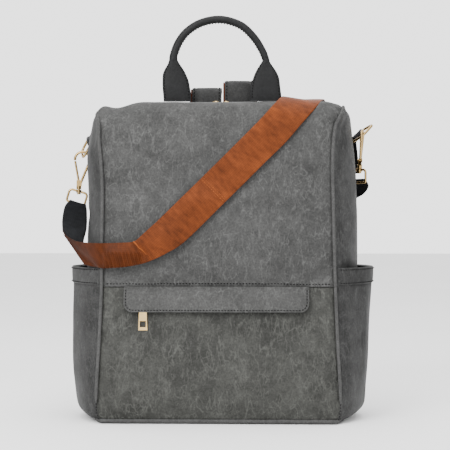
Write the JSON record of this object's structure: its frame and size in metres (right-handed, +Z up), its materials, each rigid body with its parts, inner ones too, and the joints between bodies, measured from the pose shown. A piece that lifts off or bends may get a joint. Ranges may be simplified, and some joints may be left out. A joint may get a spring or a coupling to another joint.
{
  "type": "diaper bag",
  "caption": "Soft leather-look diaper backpack with a front flap pocket, side pockets, a top grab handle, rear shoulder straps and a clip-on crossbody strap.",
  "frame": {"origin": "centre of the base, on the floor", "axes": "+Z up, -Y towards the front of the bag, +X to the viewer's right when facing the front"},
  "size_m": [0.3782, 0.1774, 0.4796],
  "materials": {
    "grey_leather": "soft mottled grey leather, satin",
    "black_leather": "smooth black leather, satin",
    "strap_webbing": "tan satin-faced ribbed webbing",
    "black_webbing": "dark woven webbing",
    "padded_strap": "grey padded strap with a tan lining",
    "lining": "plain woven lining",
    "gold_metal": "pale gold plated, polished",
    "dark_metal": "black lacquered metal",
    "zip_tape": "black woven tape",
    "zip_coil": "black nylon coil",
    "board": "stiff board",
    "cord_core": "soft filler rod"
  },
  "bodies": {
    "bag": {"back_panel": "grey_leather", "backpack_strap_left": "padded_strap", "backpack_strap_right": "padded_strap", "backpack_webbing_left": "black_webbing", "backpack_webbing_right": "black_webbing", "base_board": "board", "base_panel": "grey_leather", "dring_tab_left": "black_leather", "dring_tab_right": "black_leather", "front_pocket_lining": "lining", "front_pocket_panel": "grey_leather", "front_upper_panel": "grey_leather", "front_zip_coil": "zip_coil", "front_zip_tapes": "zip_tape", "handle_anchor_left": "grey_leather", "handle_anchor_right": "grey_leather", "lower_tab_left": "black_leather", "lower_tab_right": "black_leather", "main_lining": "lining", "main_zip_coil": "zip_coil", "main_zip_tapes": "zip_tape", "piping_left": "grey_leather", "piping_right": "grey_leather", "pocket_band_left": "grey_leather", "pocket_band_right": "grey_leather", "shoulder_strap": "strap_webbing", "side_gusset_left": "grey_leather", "side_gusset_right": "grey_leather", "side_pocket_left": "grey_leather", "side_pocket_right": "grey_leather", "strap_end_left": "black_webbing", "strap_end_right": "black_webbing", "swivel_loop_left": "gold_metal", "swivel_loop_right": "gold_metal", "webbing_ring_left": "dark_metal", "webbing_ring_right": "dark_metal", "zip_end_tabs": "grey_leather"},
    "flap": {"front_flap": "grey_leather"},
    "front_slider": {"front_zip_slider": "gold_metal"},
    "front_puller": {"front_zip_puller": "gold_metal"},
    "main_slider_left": {"main_zip_slider_left": "gold_metal"},
    "main_slider_right": {"main_zip_slider_right": "gold_metal"},
    "main_puller_left": {"main_zip_puller_left": "gold_metal"},
    "main_puller_right": {"main_zip_puller_right": "gold_metal"},
    "handle": {"grab_handle": "grey_leather", "handle_core": "cord_core"},
    "ring_left": {"dring_left": "gold_metal"},
    "ring_right": {"dring_right": "gold_metal"},
    "hook_left": {"hook_frame_left": "gold_metal", "hook_rivet_left": "gold_metal"},
    "hook_right": {"hook_frame_right": "gold_metal", "hook_rivet_right": "gold_metal"},
    "gate_left": {"hook_gate_left": "gold_metal"},
    "gate_right": {"hook_gate_right": "gold_metal"},
    "adjuster_left": {"adjuster_left": "dark_metal"},
    "adjuster_right": {"adjuster_right": "dark_metal"}
  },
  "joints": [
    {"name": "flap_hinge", "type": "hinge", "parent": "bag", "child": "flap", "pos_m": [-0.002, -0.0665, 0.157], "axis": [-1, 0, 0], "range_deg": [0, 110]},
    {"name": "front_zip_slide", "type": "slide", "parent": "bag", "child": "front_slider", "axis": [1, 0, 0], "range_m": [-0.008, 0.175]},
    {"name": "front_puller_swing", "type": "hinge", "parent": "front_slider", "child": "front_puller", "pos_m": [-0.086, -0.07122, 0.134], "axis": [-1, 0, 0], "range_deg": [0, 28]},
    {"name": "main_zip_slide_left", "type": "slide", "parent": "bag", "child": "main_slider_left", "axis": [-1, 0, 0], "range_m": [0, 0.112]},
    {"name": "main_zip_slide_right", "type": "slide", "parent": "bag", "child": "main_slider_right", "axis": [1, 0, 0], "range_m": [0, 0.066]},
    {"name": "main_puller_swing_left", "type": "hinge", "parent": "main_slider_left", "child": "main_puller_left", "pos_m": [-0.0062, 0.037, 0.3747], "axis": [-1, 0, 0], "range_deg": [0, 100]},
    {"name": "main_puller_swing_right", "type": "hinge", "parent": "main_slider_right", "child": "main_puller_right", "pos_m": [0.0062, 0.037, 0.3747], "axis": [-1, 0, 0], "range_deg": [0, 100]},
    {"name": "handle_fold", "type": "hinge", "parent": "bag", "child": "handle", "pos_m": [-0.002, 0.05, 0.3788], "axis": [-1, 0, 0], "range_deg": [-80, 10]},
    {"name": "ring_swing_left", "type": "hinge", "parent": "bag", "child": "ring_left", "pos_m": [-0.1623, 0.056, 0.3285], "axis": [0.1857, -0.9236, -0.3355], "range_deg": [0, 8]},
    {"name": "ring_swing_right", "type": "hinge", "parent": "bag", "child": "ring_right", "pos_m": [0.1665, 0.058, 0.3348], "axis": [0.5202, 0.6402, 0.5652], "range_deg": [0, 7]},
    {"name": "hook_swivel_left", "type": "hinge", "parent": "bag", "child": "hook_left", "pos_m": [-0.17632, 0.06008, 0.27888], "axis": [0, 0, 1], "range_deg": [-12, 8]},
    {"name": "hook_swivel_right", "type": "hinge", "parent": "bag", "child": "hook_right", "pos_m": [0.16822, 0.04326, 0.30404], "axis": [0.04, -0.3399, 0.9396], "range_deg": [-4, 10]},
    {"name": "gate_spring_left", "type": "hinge", "parent": "hook_left", "child": "gate_left", "pos_m": [-0.17632, 0.06008, 0.27888], "axis": [0, 1, 0], "range_deg": [0, 12], "stiffness_Nm_per_rad": 0.02, "springref_deg": -17.19},
    {"name": "gate_spring_right", "type": "hinge", "parent": "hook_right", "child": "gate_right", "pos_m": [0.16822, 0.04326, 0.30404], "axis": [-0.98, 0.17, 0.1032], "range_deg": [0, 12], "stiffness_Nm_per_rad": 0.02, "springref_deg": -17.19},
    {"name": "adjuster_slide_left", "type": "slide", "parent": "bag", "child": "adjuster_left", "axis": [-0.2832, -0.0261, -0.9587], "range_m": [-0.018, 0.02]},
    {"name": "adjuster_slide_right", "type": "slide", "parent": "bag", "child": "adjuster_right", "axis": [0.2832, -0.0261, -0.9587], "range_m": [-0.018, 0.02]}
  ]
}
